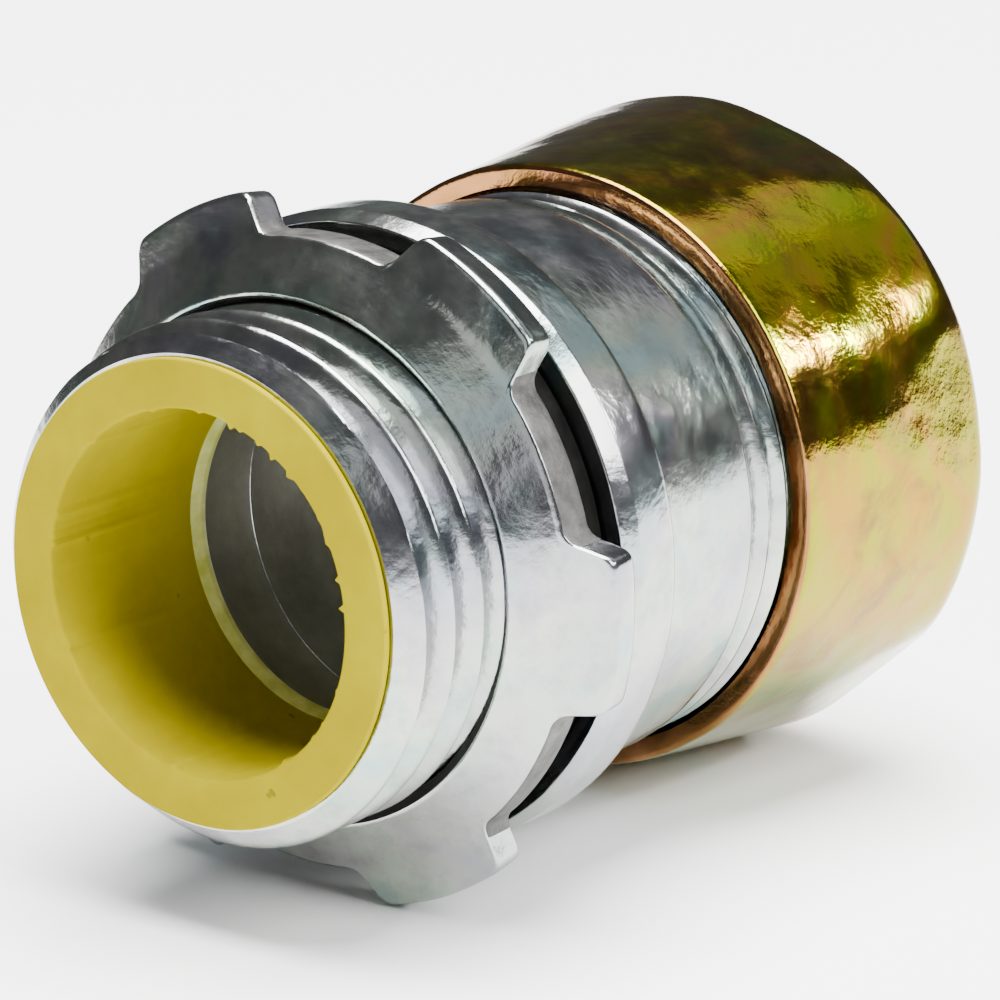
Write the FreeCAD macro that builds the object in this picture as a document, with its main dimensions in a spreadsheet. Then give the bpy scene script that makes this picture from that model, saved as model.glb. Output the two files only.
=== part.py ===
import FreeCAD, Part
import math
import os
import Sketcher

# Conduit compression connector, trade size 1/2, with an insulated throat and a locknut.
# Millimetres. The axis of the fitting is +Y, from the box thread's nose to the compression nut.
# The origin is on that axis, in the plane of the shoulder that seats on the box wall.
# Every piece is a PartDesign body that is drawn along its own Y axis from its own front end,
# then placed along the axis of the fitting, and turned about it where it isn't round.

SIZES = {
    # box thread, 14 threads to the inch
    "nose_length": 10.2,
    "nose_edge_radius": 9.5,
    "nose_chamfer": 0.75,
    "box_pitch": 1.8143,
    "box_major_radius": 10.48,
    "box_root_radius": 9.35,
    "box_crest": 0.26,
    "box_thread_lead": 0.3,
    "box_relief": 1.2,
    # the shoulder that seats on the box, and the smooth barrel behind it
    "shoulder_front_radius": 12.85,
    "shoulder_radius": 13.2,
    "shoulder_bevel": 0.8,
    "shoulder_width": 3.3,
    "barrel_radius": 12.0,
    "barrel_end": 10.3,
    # gland thread, 20 threads to the inch
    "gland_pitch": 1.27,
    "gland_major_radius": 11.9,
    "gland_root_radius": 11.15,
    "gland_crest": 0.2,
    "gland_relief": 0.7,
    "body_end": 20.5,
    "body_end_chamfer": 0.6,
    # the conduit's socket, its stop, and the cone that closes the compression ring
    "socket_radius": 9.1,
    "conduit_stop": 2.8,
    "seat_mouth_radius": 10.3,
    "seat_depth": 1.5,
    # insulated throat
    "liner_radius": 8.05,
    "liner_gap": 0.03,
    "throat_radius": 7.36,
    "throat_end": 1.1,
    "throat_flange": 0.28,
    "throat_flange_gap": 0.02,
    "throat_flange_radius": 9.36,
    "throat_lead": 0.3,
    "throat_edge_round": 0.2,
    # clearance of every thread, measured square to its flank and on its radius
    "thread_clearance": 0.12,
    # locknut
    "locknut_front": 4.75,
    "locknut_turn": 26,
    "locknut_mouth_radius": 10.72,
    "locknut_edge_radius": 10.85,
    "locknut_hub_radius": 12.5,
    "locknut_hub_depth": 2.9,
    "notch_floor_radius": 12.9,
    "notch_floor_depth": 1.35,
    "lug_radius": 14.6,
    "lug_depth": 1.85,
    "lug_back_radius": 14.45,
    "lug_back_depth": 3.55,
    # sealing ring between the locknut and the box
    "box_ring_front": 1.75,
    "box_ring_back": 0.1,
    "box_ring_inner_radius": 10.62,
    "box_ring_outer_radius": 12.1,
    "box_ring_bevel": 0.55,
    # compression nut
    "nut_front": 13.0,
    "nut_turn": 18.5,
    "nut_length": 14.9,
    "nut_flats": 27.2,
    "nut_corner_round": 8.7,
    "nut_lip_radius": 12.95,
    "nut_taper_length": 11.5,
    "nut_taper_radius": 14.2,
    "nut_shoulder_length": 13.0,
    "nut_shoulder_radius": 12.9,
    "nut_back_radius": 10.0,
    "nut_mouth_radius": 12.05,
    "nut_thread_end": 9.6,
    "nut_relief_end": 10.3,
    "nut_relief_gap": 0.05,
    "nut_chamber_radius": 11.05,
    "nut_seat_start": 12.3,
    "nut_seat_length": 2.1,
    "nut_hole_radius": 9.2,
    # what the nut holds, from the body's end to the nut's cone
    "gland_bore_radius": 9.15,
    "ring_front": 21.35,
    "ring_length": 3.0,
    "ring_nose_radius": 9.45,
    "ring_radius": 10.85,
    "ring_chamfer": 0.5,
    "ring_split": 12,
    "washer_front": 24.4,
    "washer_width": 0.5,
    "washer_radius": 10.9,
    "seal_front": 24.95,
    "seal_length": 2.1,
    "seal_straight": 0.3,
    "seal_radius": 10.9,
    "seal_tip_radius": 9.35,
}

LUG_COUNT = 6
NOTCH_HALF_ANGLE = 14.0  # degrees of a notch's floor, each side of its middle
NOTCH_FLARE = 0.9  # how far a notch's side runs sideways for each millimetre outwards
FLOOR_SEGMENTS = 4
HEX_SIDES = 6
FLANK = 30.0  # degrees between a thread's flank and the plane square to its axis
MINOR_SHARE = 0.2  # a nut's bore cuts this share off the thread's depth, beside its clearance
THREAD_REACH = 0.15  # how far a thread cutter's section stands clear of the metal
OUTSIDE = 1.0  # how far any other cutting outline runs past the metal


class Size:
    """A length with its value and the sheet expression that drives it."""

    def __init__(self, value, text):
        self.value = value
        self.text = text

    def _join(self, other, sign, value):
        if isinstance(other, Size):
            return Size(value(self.value, other.value), f"({self.text} {sign} {other.text})")
        return Size(value(self.value, other), f"({self.text} {sign} {other:.10g} )")

    def __add__(self, other):
        return self._join(other, "+", lambda a, b: a + b)

    def __sub__(self, other):
        return self._join(other, "-", lambda a, b: a - b)

    def __mul__(self, other):
        return self._join(other, "*", lambda a, b: a * b)

    def __neg__(self):
        return self * -1


def size(name):
    return Size(SIZES[name], f"Dims.{name}")


ZERO = size("nose_length") * 0


def make_sheet(doc):
    sheet = doc.addObject("Spreadsheet::Sheet", "Dims")
    for row, (name, value) in enumerate(SIZES.items(), start=1):
        sheet.set(f"A{row}", name)
        sheet.set(f"B{row}", str(value))
        sheet.setAlias(f"B{row}", name)
    doc.recompute()


def new_body(doc, name, front, turn=None):
    """A body whose own origin lies at this distance along the fitting, turned about the axis."""
    body = doc.addObject("PartDesign::Body", name)
    body.Label = name
    body.Placement = FreeCAD.Placement(FreeCAD.Vector(0, 0, 0), FreeCAD.Rotation(FreeCAD.Vector(0, 1, 0), 1))
    body.setExpression(".Placement.Base.y", front.text)
    body.setExpression(".Placement.Rotation.Angle", turn.text if turn else "0")
    return body


def sketch_on(body, role, name, corners):
    """A closed outline through these corners, each held by its two distances from the origin."""
    plane = next(f for f in body.Origin.OriginFeatures if f.Role == role)
    sketch = body.newObject("Sketcher::SketchObject", name)
    sketch.AttachmentSupport = [(plane, "")]
    sketch.MapMode = "FlatFace"
    points = [FreeCAD.Vector(a.value, b.value, 0) for a, b in corners]
    count = len(points)
    for i in range(count):
        sketch.addGeometry(Part.LineSegment(points[i], points[(i + 1) % count]), False)
    for i in range(count):
        sketch.addConstraint(Sketcher.Constraint("Coincident", i, 2, (i + 1) % count, 1))
    for i, corner in enumerate(corners):
        for kind, length in zip(("DistanceX", "DistanceY"), corner):
            index = sketch.addConstraint(Sketcher.Constraint(kind, -1, 1, i, 1, length.value))
            sketch.setExpression(f"Constraints[{index}]", length.text)
    return sketch


def turned(body, kind, name, corners):
    """A Revolution or a Groove of an outline of (distance along the axis, radius)."""
    before = body.Shape.Volume if body.Tip else 0.0
    sketch = sketch_on(body, "YZ_Plane", f"{name}_outline", corners)
    feature = body.newObject(f"PartDesign::{kind}", name)
    feature.Profile = sketch
    feature.ReferenceAxis = (sketch, ["H_Axis"])
    feature.Angle = 360
    body.Document.recompute()
    check_volume(body, name, before, kind == "Revolution")
    return feature


def check_volume(body, name, before, adds):
    after = body.Shape.Volume
    if (after > before + 1e-3) != adds or abs(after - before) < 1e-3:
        raise RuntimeError(f"{name} left the volume at {after:.3f}, from {before:.3f}")


def thread_groove(body, name, start, length, pitch, outer, inner, outer_width, inner_width):
    """A right-hand helical groove, whose section is centred on start at +Z of the body's axis."""
    before = body.Shape.Volume
    outline = [
        (start - outer_width * 0.5, outer),
        (start + outer_width * 0.5, outer),
        (start + inner_width * 0.5, inner),
        (start - inner_width * 0.5, inner),
    ]
    sketch = sketch_on(body, "YZ_Plane", f"{name}_section", outline)
    groove = body.newObject("PartDesign::SubtractiveHelix", name)
    groove.Profile = sketch
    groove.ReferenceAxis = (sketch, ["H_Axis"])
    groove.Mode = "pitch-height-angle"
    groove.setExpression("Pitch", pitch.text)
    groove.setExpression("Height", length.text)
    body.Document.recompute()
    check_volume(body, name, before, False)


def ridge_width(crest, major, radius):
    """Axial width of a thread's ridge at this radius."""
    return crest + (major - radius) * (2 * math.tan(math.radians(FLANK)))


def cut_male_thread(body, name, start, length, thread):
    """Cut between the ridges, from outside the cylinder inwards."""
    pitch, major = size(f"{thread}_pitch"), size(f"{thread}_major_radius")
    root, crest = size(f"{thread}_root_radius"), size(f"{thread}_crest")
    outside = major + THREAD_REACH
    outer_width = pitch - ridge_width(crest, major, outside)
    inner_width = pitch - ridge_width(crest, major, root)
    thread_groove(body, name, start, length, pitch, outside, root, outer_width, inner_width)


def cut_female_thread(body, name, start, length, thread):
    """Cut the room for the male ridge and its clearance, from inside the bore outwards."""
    inside = bore_under(thread) - THREAD_REACH
    pitch, major = size(f"{thread}_pitch"), size(f"{thread}_major_radius")
    crest, gap = size(f"{thread}_crest"), size("thread_clearance")
    play = gap * (2 / math.cos(math.radians(FLANK)))
    bottom = major + gap
    inner_width = ridge_width(crest, major, inside) + play
    outer_width = ridge_width(crest, major, bottom) + play
    thread_groove(body, name, start, length, pitch, bottom, inside, outer_width, inner_width)


def bore_under(thread):
    """Radius of a nut's bore, just outside the male root."""
    root, major = size(f"{thread}_root_radius"), size(f"{thread}_major_radius")
    return root + (major - root) * MINOR_SHARE + size("thread_clearance")


def is_circle(edge, along, radius):
    curve = edge.Curve
    return (
        isinstance(curve, Part.Circle)
        and abs(curve.Radius - radius) < 1e-4
        and abs(curve.Center.y - along) < 1e-4
    )


def round_edges(body, name, radius, wanted):
    """Fillet the edges that this test picks on the body so far."""
    base = body.Tip
    names = [f"Edge{i}" for i, e in enumerate(base.Shape.Edges, start=1) if wanted(e)]
    if not names:
        raise RuntimeError(f"{name} found no edge")
    fillet = body.newObject("PartDesign::Fillet", name)
    fillet.Base = (base, names)
    fillet.Radius = radius.value
    fillet.setExpression("Radius", radius.text)
    body.Document.recompute()


def make_connector_body(doc):
    body = new_body(doc, "connector_body", ZERO)
    nose, relief = -size("nose_length"), -size("box_relief")
    box_r, box_root = size("box_major_radius"), size("box_root_radius")
    gland_r, gland_root = size("gland_major_radius"), size("gland_root_radius")
    barrel_end, end = size("barrel_end"), size("body_end")
    chamfer, edge = size("body_end_chamfer"), size("nose_edge_radius")
    width, bevel = size("shoulder_width"), size("shoulder_bevel")
    thread_start = barrel_end + size("gland_relief")
    turned(body, "Revolution", "turned_shell", [
        (nose, size("liner_radius")),
        (nose, edge),
        (nose + size("nose_chamfer"), box_r),
        (relief, box_r),
        (relief, box_root),
        (ZERO, box_root),
        (ZERO, size("shoulder_front_radius")),
        (bevel, size("shoulder_radius")),
        (width, size("shoulder_radius")),
        (width, size("barrel_radius")),
        (barrel_end, size("barrel_radius")),
        (barrel_end, gland_root),
        (thread_start, gland_root),
        (thread_start, gland_r),
        (end - chamfer, gland_r),
        (end, gland_r - chamfer),
        (end, size("seat_mouth_radius")),
        (end - size("seat_depth"), size("socket_radius")),
        (size("conduit_stop"), size("socket_radius")),
        (size("conduit_stop"), size("liner_radius")),
    ])
    box_pitch, gland_pitch = size("box_pitch"), size("gland_pitch")
    # grooves lie half a pitch from the ridges, and run out into the relief at the shoulder
    first_groove = nose + size("box_thread_lead") - box_pitch * 0.5
    cut_male_thread(body, "box_thread", first_groove, size("nose_length"), "box")
    gland_length = end - thread_start + gland_pitch
    cut_male_thread(body, "gland_thread", thread_start - gland_pitch * 0.25, gland_length, "gland")
    return body


def make_insulated_throat(doc):
    flange, outer = size("throat_flange"), size("throat_flange_radius")
    front = size("nose_length") + size("throat_flange_gap") + flange
    body = new_body(doc, "insulated_throat", -front)
    sleeve, bore, lead = size("liner_radius") - size("liner_gap"), size("throat_radius"), size("throat_lead")
    length = front - size("throat_end")
    turned(body, "Revolution", "moulded_liner", [
        (ZERO, bore),
        (ZERO, outer),
        (flange, outer),
        (flange, sleeve),
        (length, sleeve),
        (length, bore + lead),
        (length - lead, bore),
    ])
    radii = (bore.value, outer.value)
    round_edges(body, "flange_rounds", size("throat_edge_round"),
                lambda edge: any(is_circle(edge, 0.0, radius) for radius in radii))
    return body


def make_locknut(doc):
    body = new_body(doc, "locknut", -size("locknut_front"), -size("locknut_turn"))
    bore, mouth, hub_depth = bore_under("box"), size("locknut_mouth_radius"), size("locknut_hub_depth")
    turned(body, "Revolution", "dished_disc", [
        (mouth - bore, bore),
        (ZERO, mouth),
        (ZERO, size("locknut_edge_radius")),
        (size("notch_floor_depth"), size("notch_floor_radius")),
        (size("lug_depth"), size("lug_radius")),
        (size("lug_back_depth"), size("lug_back_radius")),
        (hub_depth, size("locknut_hub_radius")),
        (hub_depth, bore),
    ])
    cut_notches(body)
    # the second ridge behind the nose's end, followed round by the turn of the nut
    pitch = size("box_pitch")
    ridge = size("locknut_front") - size("nose_length") + size("box_thread_lead") + pitch
    start = ridge - size("locknut_turn") * (SIZES["box_pitch"] / 360)
    cut_female_thread(body, "locknut_thread", start, hub_depth - start + pitch, "box")
    return body


def cut_notches(body):
    """Notches between the lugs, with a floor that follows the rim and sides that flare outwards."""
    before = body.Shape.Volume
    floor = size("notch_floor_radius")
    middle = math.radians(360 / LUG_COUNT / 2)
    half = math.radians(NOTCH_HALF_ANGLE)
    outline = []
    for k in range(FLOOR_SEGMENTS + 1):
        angle = middle + half * (2 * k / FLOOR_SEGMENTS - 1)
        outline.append((floor * math.sin(angle), floor * math.cos(angle)))
    out = size("lug_radius") + OUTSIDE
    side = floor * math.sin(half) + (out - floor * math.cos(half)) * NOTCH_FLARE
    for sign in (1, -1):
        away = side * sign
        outline.append((
            out * math.sin(middle) + away * math.cos(middle),
            out * math.cos(middle) - away * math.sin(middle),
        ))
    sketch = sketch_on(body, "XZ_Plane", "notch_outline", outline)
    notch = body.newObject("PartDesign::Pocket", "notch")
    notch.Profile = sketch
    notch.Type = "ThroughAll"
    notch.Midplane = True
    pattern = body.newObject("PartDesign::PolarPattern", "notches")
    pattern.Originals = [notch]
    axis = next(f for f in body.Origin.OriginFeatures if f.Role == "Y_Axis")
    pattern.Axis = (axis, [""])
    pattern.Angle = 360
    pattern.Occurrences = LUG_COUNT
    body.Tip = pattern
    body.Document.recompute()
    check_volume(body, "notches", before, False)


def make_box_sealing_ring(doc):
    body = new_body(doc, "box_sealing_ring", -size("box_ring_front"))
    length = size("box_ring_front") - size("box_ring_back")
    inner, outer, bevel = size("box_ring_inner_radius"), size("box_ring_outer_radius"), size("box_ring_bevel")
    turned(body, "Revolution", "ring", [
        (ZERO, inner),
        (ZERO, outer - bevel),
        (bevel, outer),
        (length, outer),
        (length, inner),
    ])
    return body


def make_compression_nut(doc):
    body = new_body(doc, "compression_nut", size("nut_front"), size("nut_turn"))
    length, flats = size("nut_length"), size("nut_flats")
    corners = []
    for k in range(HEX_SIDES):
        angle = math.radians(360 / HEX_SIDES * (k + 0.5))
        corner = flats * (1 / math.sqrt(3))
        corners.append((corner * math.sin(angle), corner * math.cos(angle)))
    pad = body.newObject("PartDesign::Pad", "hexagon")
    pad.Profile = sketch_on(body, "XZ_Plane", "hexagon_outline", corners)
    pad.setExpression("Length", length.text)
    pad.Reversed = True
    body.Document.recompute()
    round_edges(body, "corner_rounds", size("nut_corner_round"), is_along_y)
    lip, wide, back = size("nut_lip_radius"), size("nut_taper_radius"), size("nut_back_radius")
    front_end, back_end = ZERO - OUTSIDE, length + OUTSIDE
    turned(body, "Groove", "taper_and_dome", [
        (front_end, lip),
        (ZERO, lip),
        (size("nut_taper_length"), wide),
        (size("nut_shoulder_length"), size("nut_shoulder_radius")),
        (length, back),
        (back_end, back),
        (back_end, wide + OUTSIDE),
        (front_end, wide + OUTSIDE),
    ])
    bore, mouth, chamber = bore_under("gland"), size("nut_mouth_radius"), size("nut_chamber_radius")
    relief = size("gland_major_radius") + size("thread_clearance") + size("nut_relief_gap")
    hole = size("nut_hole_radius")
    turned(body, "Groove", "bore", [
        (front_end, ZERO),
        (front_end, mouth),
        (ZERO, mouth),
        (mouth - bore, bore),
        (size("nut_thread_end"), bore),
        (size("nut_thread_end"), relief),
        (size("nut_relief_end"), relief),
        (size("nut_relief_end"), chamber),
        (size("nut_seat_start"), chamber),
        (size("nut_seat_start") + size("nut_seat_length"), hole),
        (back_end, hole),
        (back_end, ZERO),
    ])
    # ridges lie half a pitch from the middle of the body's grooves
    pitch, turn = size("gland_pitch"), size("nut_turn")
    first_groove = size("barrel_end") + size("gland_relief") - pitch * 0.25
    start = first_groove + pitch * 0.5 - size("nut_front") + turn * (SIZES["gland_pitch"] / 360)
    cut_female_thread(body, "nut_thread", start, size("nut_thread_end") - start + pitch * 0.25, "gland")
    return body


def is_along_y(edge):
    return isinstance(edge.Curve, Part.Line) and abs(abs(edge.Curve.Direction.y) - 1) < 1e-6


def make_compression_ring(doc):
    body = new_body(doc, "compression_ring", size("ring_front"))
    length, bore, outer = size("ring_length"), size("gland_bore_radius"), size("ring_radius")
    nose, chamfer = size("ring_nose_radius"), size("ring_chamfer")
    slope = SIZES["seat_depth"] / (SIZES["seat_mouth_radius"] - SIZES["socket_radius"])
    ring = turned(body, "Revolution", "ring", [
        (ZERO, bore),
        (ZERO, nose),
        ((outer - nose) * slope, outer),
        (length - chamfer, outer),
        (length, outer - chamfer),
        (length, bore),
    ])
    ring.Angle = 360 - SIZES["ring_split"]
    ring.setExpression("Angle", "360 - Dims.ring_split")
    doc.recompute()
    return body


def make_slip_washer(doc):
    body = new_body(doc, "slip_washer", size("washer_front"))
    width, bore, outer = size("washer_width"), size("gland_bore_radius"), size("washer_radius")
    turned(body, "Revolution", "washer", [
        (ZERO, bore),
        (ZERO, outer),
        (width, outer),
        (width, bore),
    ])
    return body


def make_sealing_ring(doc):
    body = new_body(doc, "sealing_ring", size("seal_front"))
    length, straight = size("seal_length"), size("seal_straight")
    turned(body, "Revolution", "ring", [
        (ZERO, size("gland_bore_radius")),
        (ZERO, size("seal_radius")),
        (straight, size("seal_radius")),
        (length, size("seal_tip_radius")),
        (length, size("gland_bore_radius")),
    ])
    return body


def check_document(doc):
    for item in doc.Objects:
        bad = [state for state in item.State if state in ("Invalid", "Error")]
        if bad:
            raise RuntimeError(f"{item.Label} is {bad}")


def export(bodies):
    os.makedirs("parts", exist_ok=True)
    for body in bodies:
        shape = body.Shape
        if shape.isNull() or not shape.isValid() or len(shape.Solids) != 1:
            raise RuntimeError(f"{body.Label} is not one valid solid")
        shape.exportStep(f"parts/{body.Label}.step")
        box = shape.BoundBox
        print(f"{body.Label}: {shape.Volume:.1f} mm3, y {box.YMin:.2f} to {box.YMax:.2f}")


def main():
    doc = FreeCAD.newDocument("compression_connector")
    make_sheet(doc)
    makers = [
        make_connector_body,
        make_insulated_throat,
        make_locknut,
        make_box_sealing_ring,
        make_compression_nut,
        make_compression_ring,
        make_slip_washer,
        make_sealing_ring,
    ]
    bodies = [make(doc) for make in makers]
    doc.recompute()
    check_document(doc)
    export(bodies)


main()
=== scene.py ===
"""Looks of the conduit compression fitting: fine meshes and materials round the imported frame.

Lengths are millimetres along the fitting's axis (+Y) and radii from it, in the same frame as the
CAD, and become metres when a mesh is made. An outline is a list of corners (along, radius, rounding).
"""
import math

import bmesh
import bpy
import numpy as np
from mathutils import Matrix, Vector, noise

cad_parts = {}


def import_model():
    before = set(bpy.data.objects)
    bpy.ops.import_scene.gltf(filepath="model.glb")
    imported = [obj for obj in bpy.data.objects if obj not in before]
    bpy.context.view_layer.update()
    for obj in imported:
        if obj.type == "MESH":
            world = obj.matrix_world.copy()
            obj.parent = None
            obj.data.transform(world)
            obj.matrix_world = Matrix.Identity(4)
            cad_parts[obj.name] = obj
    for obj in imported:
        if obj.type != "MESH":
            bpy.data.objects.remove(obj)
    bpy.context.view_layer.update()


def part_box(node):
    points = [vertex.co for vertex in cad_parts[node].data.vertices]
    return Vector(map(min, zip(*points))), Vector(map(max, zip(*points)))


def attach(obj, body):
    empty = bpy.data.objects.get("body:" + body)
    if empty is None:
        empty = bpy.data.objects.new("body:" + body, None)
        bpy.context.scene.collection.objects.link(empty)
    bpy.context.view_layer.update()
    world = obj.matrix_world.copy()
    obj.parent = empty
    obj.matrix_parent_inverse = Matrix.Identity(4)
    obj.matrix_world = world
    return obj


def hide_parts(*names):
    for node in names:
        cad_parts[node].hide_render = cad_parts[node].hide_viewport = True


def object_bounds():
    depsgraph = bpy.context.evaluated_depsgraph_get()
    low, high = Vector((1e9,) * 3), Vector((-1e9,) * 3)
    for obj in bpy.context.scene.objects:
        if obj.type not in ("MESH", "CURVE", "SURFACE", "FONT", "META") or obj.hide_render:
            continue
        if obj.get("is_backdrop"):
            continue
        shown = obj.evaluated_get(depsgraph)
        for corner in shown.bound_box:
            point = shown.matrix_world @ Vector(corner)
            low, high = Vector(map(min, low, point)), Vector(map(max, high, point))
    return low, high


MM = 0.001
TURN = 2 * math.pi
NOTHING = 1e-9
SAME_PLACE = 1e-6
# a full sweep, clockwise from +Z as seen from the nose, with the first place repeated at the end
CIRCLE = np.linspace(0.0, TURN, 289)

# threads: pitch, major radius, root radius, crest width, and where on the axis a ridge passes +Z
BOX_THREAD = {"pitch": 1.8143, "major": 10.48, "root": 9.35, "crest": 0.26, "ridge": -9.9}
GLAND_THREAD = {"pitch": 1.27, "major": 11.9, "root": 11.15, "crest": 0.2, "ridge": 11.3175}
THREAD_FLANK = math.radians(30)
THREAD_GAP = 0.12
CREST_ROUND = 0.11

# radii and places that a piece and its second material share
CONDUIT_SOCKET = 9.1
CONDUIT_STOP = 2.8
THROAT_BORE = 7.36
LOCKNUT_MOUTH = 10.72
NOTCH_FLOOR = 12.9
NUT_LIP = 12.95

LUGS = 6
LOCKNUT_TURN = -26.0
NUT_TURN = 18.5


# ---------------------------------------------------------------- sections

def round_corner(before, corner, after, radius, steps=5):
    """Points of an arc of this radius in a corner, or fewer where the sides are too short."""
    b = np.array(corner)
    u = np.array(before) - b
    v = np.array(after) - b
    lu, lv = np.linalg.norm(u), np.linalg.norm(v)
    if radius <= 0 or min(lu, lv) < NOTHING:
        return [tuple(b)]
    u, v = u / lu, v / lv
    angle = math.acos(max(-1.0, min(1.0, float(u @ v))))
    if not math.radians(1) <= angle <= math.radians(179):
        return [tuple(b)]
    under_half = 0.48
    back = min(radius / math.tan(angle / 2), under_half * lu, under_half * lv)
    p, q = b + u * back, b + v * back
    points = []
    for k in range(steps + 1):
        t = k / steps
        points.append(tuple((1 - t) ** 2 * p + 2 * t * (1 - t) * b + t * t * q))
    return points


def section(corners, longest=0.45, closed=False):
    """A rounded path through corners of (along, radius, rounding), with no step over the longest."""
    count = len(corners)
    path = []
    for i, (y, r, rounding) in enumerate(corners):
        inside = closed or 0 < i < count - 1
        if not inside:
            path.append((y, r))
            continue
        before, after = corners[i - 1][:2], corners[(i + 1) % count][:2]
        path += round_corner(before, (y, r), after, rounding)
    out = [path[0]]
    for point in path[1:]:
        gap = math.dist(out[-1], point)
        if gap < SAME_PLACE:
            continue
        start = out[-1]
        steps = max(1, math.ceil(gap / longest))
        for k in range(1, steps + 1):
            t = k / steps
            out.append((start[0] + (point[0] - start[0]) * t, start[1] + (point[1] - start[1]) * t))
    return out


def plain_rows(path, angles=CIRCLE):
    """Rows of a surface of revolution, as arrays of along and radius."""
    path = np.array(path)
    ones = np.ones(len(angles))
    return path[:, :1] * ones, path[:, 1:] * ones


def stack_rows(parts):
    """The rows of a section's parts, one after the other."""
    return np.vstack([along for along, _ in parts]), np.vstack([radius for _, radius in parts])


def thread_radius(phase, thread, gap):
    """Radius of a thread at this share of a pitch from the middle of a ridge.

    The male thread has softened crests. A gap above zero makes the female thread, which is as much wider.
    """
    away = abs((phase + 0.5) % 1.0 - 0.5) * thread["pitch"]
    edge = thread["crest"] / 2 + gap / math.cos(THREAD_FLANK)
    top, bottom = thread["major"] + gap, thread["root"] + gap
    slope = top - (away - edge) / math.tan(THREAD_FLANK)
    if gap:
        return max(bottom, min(top, slope))
    soft = CREST_ROUND
    return max(bottom, -soft * math.log(math.exp(-top / soft) + math.exp(-slope / soft)))


def thread_rows(start, end, thread, envelope, gap=0.0, per_pitch=22, angles=CIRCLE):
    """Rows that follow a right-hand helix between two planes.

    The envelope holds a male thread inside it, and a female one, whose gap is above zero, outside it.
    """
    pitch = thread["pitch"]
    start_phase = (start - thread["ridge"]) / pitch
    lead = angles / TURN * pitch
    first = math.floor(-lead.max() / pitch * per_pitch)
    last = math.ceil((end - start - lead.min()) / pitch * per_pitch)
    along, radius = [], []
    for j in range(first, last + 1):
        y = start + pitch * j / per_pitch + lead
        r = thread_radius(start_phase + j / per_pitch, thread, gap)
        inside = (y > start) & (y < end)
        y = np.clip(y, start, end)
        limit = np.array([envelope(value) for value in y])
        held = np.maximum(r, limit) if gap else np.minimum(r, limit)
        along.append(y)
        radius.append(np.where(inside, held, limit))
    return np.array(along), np.array(radius)


def male_envelope(thread, lead_in, run_out):
    """Envelope of a male thread between two cones, each given as (place, radius there, slope)."""
    first, first_radius, first_slope = lead_in
    last, last_radius, last_slope = run_out
    clear_of_crests = thread["major"] + 0.2

    def limit(y):
        opening = first_radius + (y - first) * first_slope
        closing = last_radius + (last - y) * last_slope
        return max(min(opening, closing, clear_of_crests), thread["root"])

    return limit


def bore_under(thread):
    """Radius of a nut's bore, just outside the male root."""
    return thread["root"] + (thread["major"] - thread["root"]) * 0.2 + THREAD_GAP


# ---------------------------------------------------------------- meshes

def new_object(name, verts, faces, sharp):
    """A smooth object with sharp edges over this angle, and one material slot still to fill."""
    mesh = bpy.data.meshes.new(name)
    mesh.from_pydata(verts, [], faces)
    work = bmesh.new()
    work.from_mesh(mesh)
    bmesh.ops.remove_doubles(work, verts=work.verts, dist=0.0002 * MM)
    bmesh.ops.dissolve_degenerate(work, edges=work.edges, dist=0.0001 * MM)
    bmesh.ops.recalc_face_normals(work, faces=work.faces)
    work.to_mesh(mesh)
    work.free()
    mesh.materials.append(None)
    mesh.shade_smooth()
    mesh.set_sharp_from_angle(angle=math.radians(sharp))
    obj = bpy.data.objects.new(name, mesh)
    bpy.context.scene.collection.objects.link(obj)
    return obj


def grid_faces(rows, columns):
    """Quads over rows that close on the first one, each row with one more place than columns."""
    wide = columns + 1
    j, c = np.meshgrid(np.arange(rows), np.arange(columns), indexing="ij")
    up = (j + 1) % rows
    quads = np.stack([j * wide + c, j * wide + c + 1, up * wide + c + 1, up * wide + c], axis=-1)
    return quads.reshape(-1, 4).tolist()


def turned_object(name, along, radius, angles=CIRCLE, sharp=32.0):
    """A closed section turned round +Y. A sweep under a full turn gets flat end faces."""
    rows, wide = along.shape
    verts = np.stack([radius * np.sin(angles), along, radius * np.cos(angles)], axis=-1) * MM
    faces = grid_faces(rows, wide - 1)
    full_turn = angles[-1] - angles[0] > TURN - 0.01
    if not full_turn:
        faces.append([j * wide for j in range(rows)])
        faces.append([j * wide + wide - 1 for j in reversed(range(rows))])
    return new_object(name, verts.reshape(-1, 3).tolist(), faces, sharp)


def roughen(obj, amount, scale, seed):
    """Soft unevenness of the surface itself: amount and scale in millimetres."""
    mesh = obj.data
    # each seed reads a part of the noise of its own
    shift = Vector((seed * 7.3, seed * 3.1, seed * 5.7))
    normals = [v.normal.copy() for v in mesh.vertices]
    for v, normal in zip(mesh.vertices, normals):
        place = v.co / (scale * MM) + shift
        v.co += normal * (noise.noise(place) * amount * MM)
    mesh.update()


def ends_of(node):
    """Where a CAD node starts and ends along the axis."""
    low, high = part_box(node)
    return low[1] / MM, high[1] / MM


def hold_inside(obj, node):
    """Keep the unevenness of a piece inside its CAD node's box."""
    low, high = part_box(node)
    for v in obj.data.vertices:
        v.co = [min(max(c, a), b) for c, a, b in zip(v.co, low, high)]


# ---------------------------------------------------------------- connector body

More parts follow.
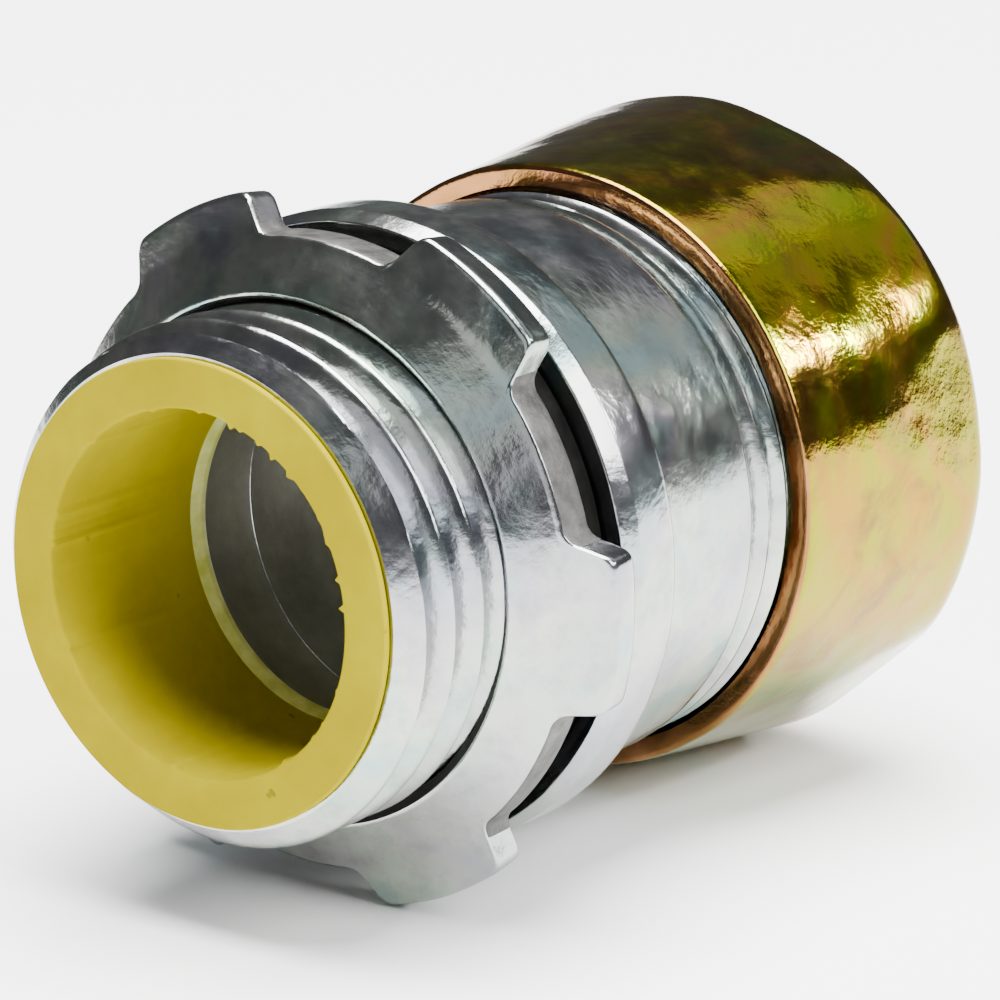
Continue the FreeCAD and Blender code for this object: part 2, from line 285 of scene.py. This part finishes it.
def make_body():
    nose, end = ends_of("connector_body")
    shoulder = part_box("connector_body")[1][0] / MM
    box, gland = BOX_THREAD, GLAND_THREAD
    nose_edge, relief = 9.5, -1.2
    shoulder_front, shoulder_bevel, shoulder_end = 12.85, 0.8, 3.3
    barrel, barrel_end = 12.0, 10.3
    gland_start, gland_end = barrel_end + 0.7, end - 0.02
    end_edge, seat_mouth, seat_depth = gland["major"] - 0.62, 10.3, 1.5
    liner = 8.05

    nose_envelope = male_envelope(box, (nose, nose_edge, 1.3), (relief, box["root"], 1.4))
    gland_envelope = male_envelope(gland, (gland_start, gland["root"], 2.2), (end, end_edge, 1.0))
    nose_thread = thread_rows(nose, relief, box, nose_envelope)
    middle = plain_rows(section([
        (relief, box["root"], 0),
        (0.0, box["root"], 0.15),
        (0.0, shoulder_front, 0.15),
        (shoulder_bevel, shoulder, 0.35),
        (shoulder_end, shoulder, 0.5),
        (shoulder_end, barrel, 0.3),
        (barrel_end, barrel, 0.22),
        (barrel_end, gland["root"], 0.12),
        (gland_start, gland["root"], 0),
    ]))
    gland_thread = thread_rows(gland_start, gland_end, gland, gland_envelope, per_pitch=14)
    inner = plain_rows(section([
        (end, end_edge, 0),
        (end, seat_mouth, 0.12),
        (end - seat_depth, CONDUIT_SOCKET, 0.2),
        (CONDUIT_STOP, CONDUIT_SOCKET, 0.15),
        (CONDUIT_STOP, liner, 0.12),
        (nose, liner, 0.08),
        (nose, nose_edge, 0),
    ], longest=1.2))
    obj = turned_object("fine_connector_body", *stack_rows([nose_thread, middle, gland_thread, inner]))
    roughen(obj, 0.012, 2.6, 1)
    return obj


# ---------------------------------------------------------------- insulated throat

def make_throat():
    front, back = ends_of("insulated_throat")
    flange, flange_radius, outer, back_edge = 0.28, 9.36, 8.02, 7.66
    bore, bead = THROAT_BORE, 0.2
    bead_start, bead_end = back - 0.4, back - 0.1
    bead_foot = bead_start - 0.45
    rows = plain_rows(section([
        (front, bore, 0.2),
        (front, flange_radius, 0.2),
        (front + flange, flange_radius, 0.05),
        (front + flange, outer, 0.05),
        (back, outer, 0.1),
        (back, back_edge, 0.08),
        (bead_end, bore - bead, 0.1),
        (bead_start, bore - bead, 0.15),
        (bead_foot, bore, 0.2),
    ], closed=True))
    obj = turned_object("fine_insulated_throat", *rows)
    roughen(obj, 0.03, 3.5, 2)
    add_burrs(obj, front, bore)
    return obj


def add_burrs(obj, front, bore):
    """Small ragged burrs of moulding flash on the mouth of the throat."""
    near_along, near_radius = 0.3, 0.25
    coarse, fine, fine_share = 14.0, 45.0, 0.6
    start, depth = 0.25, 0.055
    for v in obj.data.vertices:
        y, r = v.co.y / MM, math.hypot(v.co.x, v.co.z) / MM
        if abs(y - front) > near_along or r > bore + near_radius:
            continue
        angle = math.atan2(v.co.x, v.co.z)
        c, s = math.cos(angle), math.sin(angle)
        ragged = noise.noise((c * coarse, s * coarse, 0.0))
        ragged += fine_share * noise.noise((c * fine, s * fine, 3.0))
        pull = 1.0 - max(0.0, ragged - start) * depth
        v.co.x *= pull
        v.co.z *= pull
    obj.data.update()


# ---------------------------------------------------------------- locknut

def on_circle(radius, angle):
    return (radius * math.sin(angle), radius * math.cos(angle))


def lug_outline(floor, half_angle, flare, lug, floor_steps=12, lug_steps=22):
    """Half of one lug's outline, from the middle of a notch to the middle of a lug: (angle, radius)."""
    foot_round, crown_round, arc_steps = 0.9, 1.0, 7
    floor_lead, lug_lead = 0.09, 0.06
    corner = np.array(on_circle(floor, half_angle))
    run = np.array([flare, 1.0])
    reach = -corner @ run + math.sqrt((corner @ run) ** 2 - run @ run * (corner @ corner - lug ** 2))
    top = corner + run * reach / (run @ run)
    before = on_circle(floor, half_angle - floor_lead)
    after = on_circle(lug, math.atan2(*top) + lug_lead)
    foot = round_corner(before, tuple(corner), tuple(top), foot_round, arc_steps)
    crown = round_corner(tuple(corner), tuple(top), after, crown_round, arc_steps)
    path = [on_circle(floor, half_angle * t) for t in np.linspace(0.0, 0.74, floor_steps)]
    path += foot
    path += [tuple(np.array(foot[-1]) * (1 - t) + np.array(crown[0]) * t) for t in (0.33, 0.67)]
    path += crown
    first = math.atan2(*path[-1])
    half_lug = math.pi / LUGS
    path += [on_circle(lug, first + (half_lug - first) * k / lug_steps) for k in range(1, lug_steps + 1)]
    return [(math.atan2(x, z), math.hypot(x, z)) for x, z in path]


def lug_angles(floor, lug):
    """The locknut's whole outline: angles over one full turn, and the rim's radius at each."""
    half_notch, flare = math.radians(14.0), 0.9
    half = lug_outline(floor, half_notch, flare, lug)
    outline = []
    for k in range(LUGS):
        middle = TURN * k / LUGS
        outline += [(middle - a, r) for a, r in reversed(half[1:])]
        outline += [(middle + a, r) for a, r in half[:-1]]
    outline.append((outline[0][0] + TURN, outline[0][1]))
    turn = math.radians(LOCKNUT_TURN + 180.0 / LUGS)
    return np.array([a for a, _ in outline]) + turn, np.array([r for _, r in outline])


def locknut_outside(angles, edge, back_edge, face, under, bore):
    """Rows over the dished face, round the punched rim and back under the dish to the bore.

    The face and the underside are profiles of (along, radius), and the edges are the rim's radii.
    """
    bevel, steps, rim_steps = 0.26, 34, 6
    quarter = np.linspace(0.0, math.pi / 2, 4)
    wide = np.ones(len(angles))
    rows = []

    def add(y, r):
        rows.append((y * wide, r * wide))

    for share in np.linspace(0.0, 1.0, steps):
        r = LOCKNUT_MOUTH + (edge - bevel - LOCKNUT_MOUTH) * share
        add(np.interp(r, face[:, 1], face[:, 0]), r)
    top = rows[-1][0]
    low = np.interp(back_edge - bevel, under[:, 1], under[:, 0])
    for a in quarter[1:]:
        add(top + bevel * (1 - math.cos(a)), edge - bevel + bevel * math.sin(a))
    for share in np.linspace(0.0, 1.0, rim_steps)[1:-1]:
        add(top + bevel + (low - top - 2 * bevel) * share, edge + (back_edge - edge) * share)
    for a in quarter:
        add(low - bevel + bevel * math.sin(a), back_edge - bevel + bevel * math.cos(a))
    for share in np.linspace(0.0, 1.0, steps)[1:]:
        r = back_edge - bevel + (bore - back_edge + bevel) * share
        add(np.interp(r, under[:, 1], under[:, 0]), r)
    return np.array([y for y, _ in rows]), np.array([r for _, r in rows])


def make_locknut():
    front, _ = ends_of("locknut")
    floor, floor_depth = NOTCH_FLOOR, 1.35
    lug, lug_depth = 14.6, 1.85
    lug_back, lug_back_depth = 14.45, 3.55
    edge_radius, hub, hub_depth = 10.85, 12.5, 2.9
    mouth, bore = LOCKNUT_MOUTH, bore_under(BOX_THREAD)
    angles, edge = lug_angles(floor, lug)
    back_edge = edge - (lug - lug_back) * np.clip((edge - floor) / (lug - floor), 0.0, 1.0)
    face = np.array(section(
        [(0.0, mouth, 0), (0.0, edge_radius, 0.1), (floor_depth, floor, 2.6), (lug_depth, lug, 0)],
        longest=0.2))
    under = np.array(section(
        [(hub_depth, bore, 0), (hub_depth, hub, 1.2), (lug_back_depth, lug_back, 0)],
        longest=0.3))
    along, radius = locknut_outside(angles, edge, back_edge, face, under, bore)

    def envelope(y):
        return max(mouth - (y - front), bore)

    inner = thread_rows(front, front + hub_depth, BOX_THREAD, envelope, THREAD_GAP, angles=angles)
    inside = (inner[0][::-1], np.maximum(inner[1][::-1], bore))
    rows = stack_rows([(along + front, radius), inside])
    obj = turned_object("fine_locknut", *rows, angles=angles, sharp=40)
    roughen(obj, 0.03, 2.2, 3)
    return obj


# ---------------------------------------------------------------- compression nut

def hexagon_radius(angle, flats=27.2, rounding=8.7):
    """Radius of a hexagon with rounded corners, at each angle from the middle of a flat."""
    side = np.abs((angle + math.pi / 6) % (math.pi / 3) - math.pi / 6)
    flat = flats / 2 / np.cos(side)
    centre = (flats / 2 - rounding) / math.cos(math.pi / 6)
    off = math.pi / 6 - side
    inside = centre * np.cos(off) + np.sqrt(np.maximum(rounding ** 2 - (centre * np.sin(off)) ** 2, 0.0))
    tangent = np.arctan2(centre * math.sin(math.pi / 6), flats / 2)
    return np.where(side < tangent, flat, inside)


def soft_min(a, b, soft=0.06, about=13):
    """The smaller of two radii, with a soft edge where they meet. Both are near the one given."""
    return -soft * np.log(np.exp(-(a - about) / soft) + np.exp(-(b - about) / soft)) + about


def nut_outside(front, length, hole, mouth):
    """Rows from the nut's mouth round its lip, its tapered hexagon and its rounded back to the hole."""
    taper_end, wide = 11.5, 14.2
    shoulder_start, shoulder, back_radius = 13.0, 12.9, 10.0
    hex_start, hex_blend = 12.6, 0.3
    hole_edge = 0.6
    outer = np.array(section([
        (0.0, mouth, 0.1),
        (0.0, NUT_LIP, 0.3),
        (taper_end, wide, 1.5),
        (shoulder_start, shoulder, 1.6),
        (length, back_radius, 0.6),
        (length, hole, 0.15),
        (length - hole_edge, hole, 0),
    ], longest=0.35))
    outer[:, 0] += front
    along, radius = plain_rows(outer)
    limit = hexagon_radius(CIRCLE - math.radians(NUT_TURN))
    outside = np.clip((radius - hex_start) / hex_blend, 0.0, 1.0)
    return along, radius * (1 - outside) + soft_min(radius, limit[None, :]) * outside


def make_nut():
    length = 14.9
    front = ends_of("compression_nut")[1] - length
    gland = GLAND_THREAD
    hole, chamber, mouth = 9.2, 11.05, 12.05
    bore, relief = bore_under(gland), gland["major"] + THREAD_GAP + 0.05
    thread_end, relief_end, seat_start, seat_end = 9.62, 10.3, 12.3, 14.3
    seat = plain_rows(np.array(section([
        (seat_end, hole, 0),
        (seat_start, chamber, 0.1),
        (relief_end, chamber, 0.05),
        (relief_end, relief, 0.05),
        (thread_end, relief, 0),
    ], longest=0.35)) + np.array([front, 0.0]))

    def envelope(y):
        lead_in = mouth - (y - front)
        run_out = relief - (front + thread_end - y) * 2.0
        return min(max(lead_in, run_out, bore), relief)

    inner = thread_rows(front, front + thread_end, gland, envelope, THREAD_GAP)
    inner = (inner[0][::-1], np.maximum(inner[1][::-1], bore))
    rows = stack_rows([nut_outside(front, length, hole, mouth), seat, inner])
    obj = turned_object("fine_compression_nut", *rows)
    roughen(obj, 0.05, 4.5, 4)
    roughen(obj, 0.015, 1.3, 5)
    return obj


# ---------------------------------------------------------------- rings

def make_compression_ring(bore):
    """The split ring, whose cone faces the body's seat."""
    front, back = ends_of("compression_ring")
    nose, outer, cone, chamfer = 9.45, 10.85, 1.75, 0.5
    split = math.radians(12)
    path = section([
        (front, bore, 0.08),
        (front, nose, 0.08),
        (front + cone, outer, 0.15),
        (back - chamfer, outer, 0.12),
        (back, outer - chamfer, 0.08),
        (back, bore, 0.08),
    ], closed=True)
    sweep = np.linspace(0.0, TURN - split, 181)
    return turned_object("fine_compression_ring", *plain_rows(path, sweep), angles=sweep)


def make_slip_washer(bore, outer):
    front, back = ends_of("slip_washer")
    path = section([
        (front, bore, 0.06),
        (front, outer, 0.1),
        (back, outer, 0.1),
        (back, bore, 0.06),
    ], closed=True)
    return turned_object("fine_slip_washer", *plain_rows(path))


def make_sealing_ring(bore, outer):
    front, back = ends_of("sealing_ring")
    straight, tip = 0.3, 9.35
    path = section([
        (front, bore, 0.12),
        (front, outer, 0.12),
        (front + straight, outer, 0.08),
        (back, tip, 0.08),
        (back, bore, 0.06),
    ], closed=True)
    return turned_object("fine_sealing_ring", *plain_rows(path))


def make_box_ring():
    front, back = ends_of("box_sealing_ring")
    inner, outer, bevel = 10.62, 12.1, 0.55
    path = section([
        (front, inner, 0.1),
        (front, outer - bevel, 0.12),
        (front + bevel, outer, 0.15),
        (back, outer, 0.15),
        (back, inner, 0.1),
    ], closed=True)
    ring = turned_object("fine_box_sealing_ring", *plain_rows(path))
    roughen(ring, 0.02, 2.0, 6)
    return ring


# ---------------------------------------------------------------- materials

class Nodes:
    """A material's node tree, with one short call for each kind of node."""

    def __init__(self, name):
        self.material = bpy.data.materials.new(name)
        self.material.use_nodes = True
        self.tree = self.material.node_tree
        self.shader = self.tree.nodes["Principled BSDF"]
        self.place = self.tree.nodes.new("ShaderNodeTexCoord").outputs["Object"]

    def add(self, kind, inputs=None, **settings):
        """A node with these settings, whose inputs are fed with values or with other nodes' outputs."""
        node = self.tree.nodes.new(kind)
        for key, value in settings.items():
            setattr(node, key, value)
        for key, value in (inputs or {}).items():
            self.feed(node.inputs[key], value)
        return node

    def feed(self, socket, value):
        if isinstance(value, bpy.types.NodeSocket):
            self.tree.links.new(value, socket)
        else:
            socket.default_value = value

    def stretch(self, scale):
        """The place on the piece, scaled by another amount along each axis."""
        node = self.add("ShaderNodeVectorMath", {0: self.place, 1: scale}, operation="MULTIPLY")
        return node.outputs[0]

    def noise(self, scale, detail=4.0, rough=0.55, vector=None, distortion=0.0):
        """Noise with this many features to a metre."""
        node = self.add("ShaderNodeTexNoise", {
            "Vector": vector or self.place, "Scale": scale, "Detail": detail,
            "Roughness": rough, "Distortion": distortion})
        return node.outputs["Fac"]

    def ramp(self, value, stops):
        """A colour from stops of (value, colour)."""
        node = self.add("ShaderNodeValToRGB", {"Fac": value})
        elements = node.color_ramp.elements
        while len(elements) < len(stops):
            elements.new(0.5)
        for element, (place, colour) in zip(elements, stops):
            element.position = place
            element.color = (*colour, 1.0)
        return node.outputs["Color"]

    def span(self, value, low, high, from_low=0.3, from_high=0.7):
        """The value carried from one range to another, and held at its ends."""
        node = self.add("ShaderNodeMapRange", {
            "Value": value, "From Min": from_low, "From Max": from_high, "To Min": low, "To Max": high})
        return node.outputs["Result"]

    def mix(self, share, a, b):
        """This share of colour b in colour a."""
        node = self.add("ShaderNodeMix", data_type="RGBA")
        factor, first, second = node.inputs[0], node.inputs[6], node.inputs[7]
        self.feed(factor, share)
        self.feed(first, a)
        self.feed(second, (*b, 1.0))
        return node.outputs[2]

    def bump(self, height, strength, distance, normal=None):
        """A bump whose full height is the distance, in metres, over an earlier one."""
        inputs = {"Height": height, "Strength": strength, "Distance": distance}
        if normal:
            inputs["Normal"] = normal
        return self.add("ShaderNodeBump", inputs).outputs["Normal"]

    def set(self, **inputs):
        """Feed the shader, and give the finished material."""
        names = {"colour": "Base Color", "metal": "Metallic", "rough": "Roughness", "normal": "Normal",
                 "subsurface": "Subsurface Weight", "specular": "Specular IOR Level"}
        for key, value in inputs.items():
            self.feed(self.shader.inputs[names[key]], value)
        return self.material


def zinc_steel():
    """Bright zinc: satin metal, softly hammered, with faint turning marks and passivation colours."""
    n = Nodes("zinc_plate")
    hue = n.ramp(n.noise(150.0, 3.0, 0.5, distortion=0.8), [
        (0.34, (0.26, 0.37, 0.37)),
        (0.44, (0.36, 0.42, 0.35)),
        (0.53, (0.41, 0.41, 0.375)),
        (0.62, (0.36, 0.34, 0.37)),
        (0.72, (0.29, 0.38, 0.35))])
    cloud = n.span(n.noise(75.0, 2.0, 0.5), 0.0, 0.6, 0.42, 0.62)
    clouded = n.mix(cloud, hue, (0.23, 0.25, 0.28))
    stain = n.span(n.noise(650.0, 6.0, 0.7), 0.0, 0.6, 0.46, 0.74)
    colour = n.mix(stain, clouded, (0.17, 0.18, 0.19))
    rough = n.span(n.noise(420.0, 5.0, 0.6), 0.12, 0.25)
    turning = n.noise(1.0, 3.0, 0.6, n.stretch((90.0, 6000.0, 90.0)))
    normal = n.bump(n.noise(330.0, 3.0, 0.55, distortion=0.5), 1.0, 0.00007)
    normal = n.bump(n.noise(1300.0, 4.0, 0.65), 0.8, 0.000025, normal)
    normal = n.bump(turning, 0.5, 0.00001, normal)
    return n.set(colour=colour, metal=1.0, rough=rough, normal=normal)


def painted_shade_steel(name, dark, light):
    """Painted shade for walls inside the fitting: dark, dull metal in place of the shade that falls there."""
    n = Nodes(name)
    colour = n.ramp(n.noise(260.0, 5.0, 0.6), [(0.3, dark), (0.7, light)])
    normal = n.bump(n.noise(1800.0, 4.0, 0.6), 0.5, 0.00003)
    return n.set(colour=colour, metal=0.6, rough=n.span(n.noise(500.0), 0.5, 0.7), normal=normal)


def sheared_zinc():
    """The punched floor of the locknut's notches: grainy and dull under its plating."""
    n = Nodes("zinc_sheared")
    colour = n.ramp(n.noise(900.0, 4.0, 0.65), [(0.35, (0.045, 0.044, 0.042)), (0.65, (0.10, 0.098, 0.094))])
    normal = n.bump(n.noise(2200.0, 4.0, 0.7), 0.8, 0.00006)
    return n.set(colour=colour, metal=0.9, rough=n.span(n.noise(700.0), 0.38, 0.6), normal=normal)


FILM_COLOURS = [
    (0.30, (0.14, 0.19, 0.002)), (0.38, (0.21, 0.21, 0.003)), (0.46, (0.25, 0.20, 0.004)),
    (0.54, (0.29, 0.16, 0.012)), (0.61, (0.24, 0.20, 0.003)), (0.72, (0.15, 0.20, 0.002))]
LIP_COLOURS = [(0.35, (0.20, 0.09, 0.03)), (0.50, (0.34, 0.15, 0.06)), (0.65, (0.26, 0.13, 0.04))]


def gold_steel(name, stops):
    """Yellow dichromate: glossy metal whose film drifts through these colours, with brown stains."""
    n = Nodes(name)
    bands = n.ramp(n.noise(105.0, 2.0, 0.45, distortion=1.6), stops)
    stain = n.span(n.noise(260.0, 5.0, 0.6, distortion=0.8), 0.0, 0.8, 0.50, 0.68)
    colour = n.mix(stain, bands, (0.17, 0.085, 0.02))
    rough = n.span(n.noise(500.0, 4.0, 0.6), 0.08, 0.20)
    normal = n.bump(n.noise(210.0, 2.0, 0.5), 1.0, 0.00017)
    normal = n.bump(n.noise(800.0, 4.0, 0.6), 0.7, 0.00003, normal)
    normal = n.bump(n.noise(3200.0, 2.0, 0.6), 0.6, 0.00001, normal)
    return n.set(colour=colour, metal=1.0, rough=rough, normal=normal)


def yellow_polymer():
    """The moulded liner: cloudy yellow with a few specks of dirt."""
    n = Nodes("yellow_polymer")
    cloud = n.noise(240.0, 4.0, 0.6)
    colour = n.ramp(cloud, [(0.3, (0.23, 0.183, 0.0)), (0.5, (0.255, 0.208, 0.0)), (0.7, (0.29, 0.243, 0.0))])
    dirt = n.span(n.noise(1000.0, 2.0, 0.5), 0.0, 0.6, 0.73, 0.78)
    colour = n.mix(dirt, colour, (0.07, 0.05, 0.01))
    normal = n.bump(n.noise(1500.0, 4.0, 0.6), 0.3, 0.00005)
    rough = n.span(n.noise(700.0, 3.0, 0.5), 0.40, 0.55)
    return n.set(colour=colour, rough=rough, normal=normal, specular=0.0)


def painted_highlight_rim():
    """Painted highlight on the edge of the moulded liner: a pale lit band, paler than the rest."""
    n = Nodes("yellow_painted_highlight_rim")
    colour = n.ramp(n.noise(900.0, 4.0, 0.6), [(0.3, (0.34, 0.38, 0.06)), (0.7, (0.60, 0.62, 0.25))])
    return n.set(colour=colour, rough=0.4, normal=n.bump(n.noise(2200.0), 0.3, 0.00004))


def black_rubber():
    n = Nodes("black_rubber")
    # black rubber ring, with its colour and sheen kept below real rubber so the slot round it reads as
    # painted shade
    dark, light = (0.0015, 0.0015, 0.0015), (0.005, 0.005, 0.0045)
    colour = n.ramp(n.noise(700.0, 4.0, 0.6), [(0.3, dark), (0.7, light)])
    normal = n.bump(n.noise(2500.0, 4.0, 0.6), 0.3, 0.00005)
    return n.set(colour=colour, rough=n.span(n.noise(900.0), 0.75, 0.95), normal=normal, specular=0.02)


def white_nylon():
    n = Nodes("white_nylon")
    colour = n.ramp(n.noise(300.0, 4.0, 0.6), [(0.3, (0.62, 0.60, 0.53)), (0.7, (0.76, 0.75, 0.68))])
    normal = n.bump(n.noise(1800.0, 4.0, 0.6), 0.2, 0.00004)
    return n.set(colour=colour, rough=n.span(n.noise(600.0), 0.4, 0.55), normal=normal, subsurface=0.2)


def floor_material():
    n = Nodes("pale_floor")
    colour = n.ramp(n.noise(3.0, 2.0), [(0.3, (0.86, 0.86, 0.86)), (0.7, (0.89, 0.89, 0.89))])
    return n.set(colour=colour, rough=0.7)


def finish_some(obj, material, wanted):
    """Give a further material to the wanted faces: along and radius of the middle, and facing along."""
    obj.data.materials.append(material)
    for face in obj.data.polygons:
        x, y, z = face.center / MM
        if wanted(y, math.hypot(x, z), face.normal.y):
            face.material_index = len(obj.data.materials) - 1


def finish_body(body):
    """Painted shade on the walls inside, apart from the edge of the conduit's stop, which keeps the bright
    zinc.
    """
    wall = CONDUIT_SOCKET + 0.15
    nose_face = -9.4
    edge_start, edge_end = CONDUIT_STOP - 0.25, CONDUIT_STOP + 0.05
    # painted shade: a dark dull metal over the inner walls of the bore, standing in for the shade inside
    painted_shade = painted_shade_steel("bore_painted_shade", (0.09, 0.09, 0.065), (0.18, 0.175, 0.13))
    finish_some(body, painted_shade, lambda y, r, along: r < wall and y > nose_face and not edge_start < y < edge_end)


def finish_throat(throat):
    """A painted highlight on the bead at the liner's inner end."""
    wall = THROAT_BORE + 0.14
    bead_start, bead_end = -1.95, -1.0
    # painted highlight: a pale band on the bead, standing in for its lit edge
    finish_some(throat, painted_highlight_rim(), lambda y, r, along: r < wall and bead_start < y < bead_end)


def finish_locknut(locknut):
    """Painted shade on the thread, and the grainy floor of each notch, which hardly faces along the axis."""
    # painted shade: near-black metal on the thread, standing in for the shadow in the gap at the locknut's
    # mouth
    painted_shade = painted_shade_steel("thread_painted_shade", (0.010, 0.010, 0.009), (0.03, 0.03, 0.027))
    thread = LOCKNUT_MOUTH - 0.02
    low, high, facing = NOTCH_FLOOR - 0.2, NOTCH_FLOOR + 0.4, 0.5
    finish_some(locknut, painted_shade, lambda y, r, along: r < thread)
    finish_some(locknut, sheared_zinc(), lambda y, r, along: low < r < high and abs(along) < facing)


def finish_nut(nut):
    """The copper colour of the nut's front lip."""
    lip_end, outside = 13.2, NUT_LIP - 0.05
    copper = gold_steel("copper_film", LIP_COLOURS)
    finish_some(nut, copper, lambda y, r, along: y < lip_end and r < outside)


# ---------------------------------------------------------------- studio

def make_floor(lowest):
    reach = 3.0
    corners = [(-reach, -reach), (reach, -reach), (reach, reach), (-reach, reach)]
    mesh = bpy.data.meshes.new("floor")
    mesh.from_pydata([(x, y, lowest) for x, y in corners], [], [[0, 1, 2, 3]])
    floor = bpy.data.objects.new("floor", mesh)
    bpy.context.scene.collection.objects.link(floor)
    mesh.materials.append(floor_material())
    floor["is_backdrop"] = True


def aim(obj, place, target):
    obj.location = place
    obj.rotation_euler = (Vector(target) - Vector(place)).to_track_quat("-Z", "Y").to_euler()


def softbox(name, direction, distance, size, radiance):
    """A square light that faces the fitting from this direction, with this radiance over its face.

    The distance and the side of the square are in metres.
    """
    light = bpy.data.lights.new(name, "AREA")
    light.shape = "SQUARE"
    light.size = size
    light.energy = 4 * size * size * radiance
    obj = bpy.data.objects.new(name, light)
    bpy.context.scene.collection.objects.link(obj)
    middle = Vector((0, 0.008, 0))
    aim(obj, middle + Vector(direction).normalized() * distance, middle)


def make_lights():
    softbox("overhead", (0, 0.05, 1), 1.1, 1.0, 24.0)
    softbox("behind_right", (0.30, 0.77, 0.56), 0.7, 0.26, 0.5)
    softbox("right", (0.79, -0.02, 0.60), 0.6, 0.36, 12.0)
    softbox("behind_top", (0.12, 0.60, 0.79), 0.7, 0.22, 0.9)
    softbox("sparkle", (0.66, 0.61, 0.44), 0.6, 0.055, 150.0)
    softbox("front", (0.12, -0.94, 0.30), 0.6, 0.32, 1.0)


def make_world():
    world = bpy.data.worlds.new("studio")
    bpy.context.scene.world = world
    world.use_nodes = True
    background = world.node_tree.nodes["Background"]
    background.inputs["Color"].default_value = (0.97, 1.0, 1.04, 1.0)
    background.inputs["Strength"].default_value = 0.13


def make_camera():
    camera = bpy.data.cameras.new("camera")
    camera.lens = 180.0
    camera.sensor_width = 36.0
    obj = bpy.data.objects.new("camera", camera)
    bpy.context.scene.collection.objects.link(obj)
    place = Vector((0.11978, -0.15152, 0.05543))
    sight = Vector((-0.57539, 0.77237, -0.26902))
    aim(obj, place, place + sight)
    bpy.context.scene.camera = obj


def make_pieces():
    """Every piece with its CAD node, its body, its material slot and its first material."""
    zinc, gold = zinc_steel(), gold_steel("gold_film", FILM_COLOURS)
    gland_bore, gland_outer = 9.15, 10.9
    ring, washer = make_compression_ring(gland_bore), make_slip_washer(gland_bore, gland_outer)
    seal = make_sealing_ring(gland_bore, gland_outer)
    body, throat, locknut = make_body(), make_throat(), make_locknut()
    box_ring, nut = make_box_ring(), make_nut()
    finish_body(body)
    finish_throat(throat)
    finish_locknut(locknut)
    finish_nut(nut)
    return [
        (body, "connector_body", "connector", "zinc_steel", zinc),
        (throat, "insulated_throat", "connector", "yellow_polymer", yellow_polymer()),
        (locknut, "locknut", "locknut", "zinc_steel", zinc),
        (box_ring, "box_sealing_ring", "box_seal", "black_rubber", black_rubber()),
        (nut, "compression_nut", "compression_nut", "gold_dichromate_steel", gold),
        (ring, "compression_ring", "gland_stack", "ring_steel", zinc),
        (washer, "slip_washer", "gland_stack", "ring_steel", zinc),
        (seal, "sealing_ring", "gland_stack", "white_nylon", white_nylon()),
    ]


def main():
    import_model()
    for obj, node, body, slot, material in make_pieces():
        obj.data.materials[0] = material
        hold_inside(obj, node)
        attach(obj, body)
        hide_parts(node)
    floor_gap = 0.1 * MM
    make_floor(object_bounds()[0][2] - floor_gap)
    make_world()
    make_lights()
    make_camera()


main()
